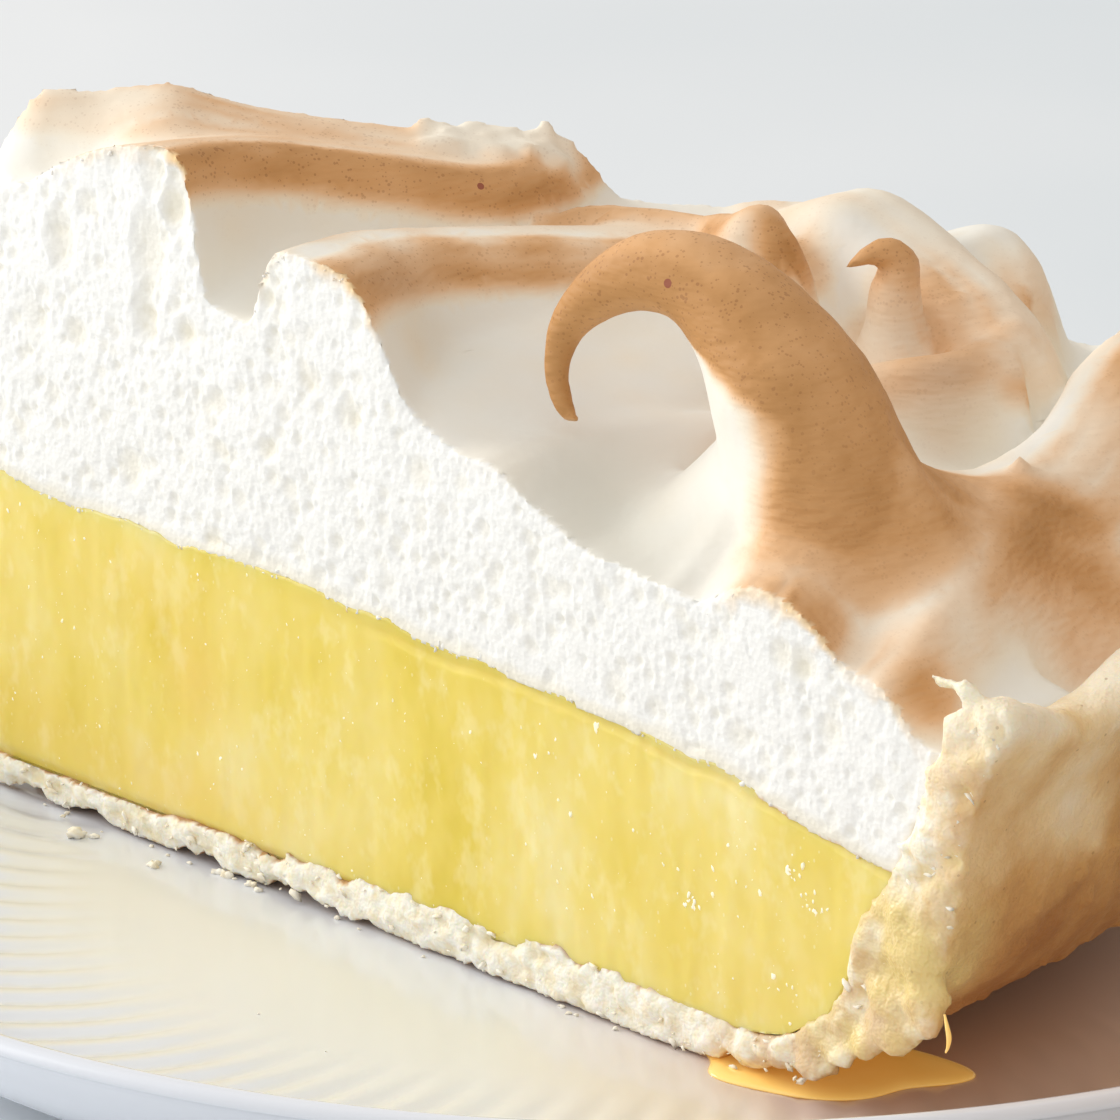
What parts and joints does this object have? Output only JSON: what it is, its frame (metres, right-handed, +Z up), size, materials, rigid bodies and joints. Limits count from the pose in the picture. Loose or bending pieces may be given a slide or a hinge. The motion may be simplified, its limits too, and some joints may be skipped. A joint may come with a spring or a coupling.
{
  "type": "slice of lemon meringue pie on a plate",
  "caption": "Cut wedge of lemon meringue pie with a crimped crust, lemon filling and swirled browned meringue, lying on a shallow round white dessert plate.",
  "frame": {"origin": "centre of the plate's foot ring, on the table", "axes": "+Z up; the slice's tip points to -X and its crust end to +X; its near cut face looks towards -Y"},
  "size_m": [0.16, 0.16, 0.0657],
  "materials": {
    "plate_glaze": "glossy",
    "baked_crust": "matte",
    "lemon_curd": "satin",
    "meringue": "matte"
  },
  "bodies": {
    "root": {"plate": "plate_glaze", "crust": "baked_crust", "lemon_filling": "lemon_curd", "meringue": "meringue"}
  },
  "joints": []
}
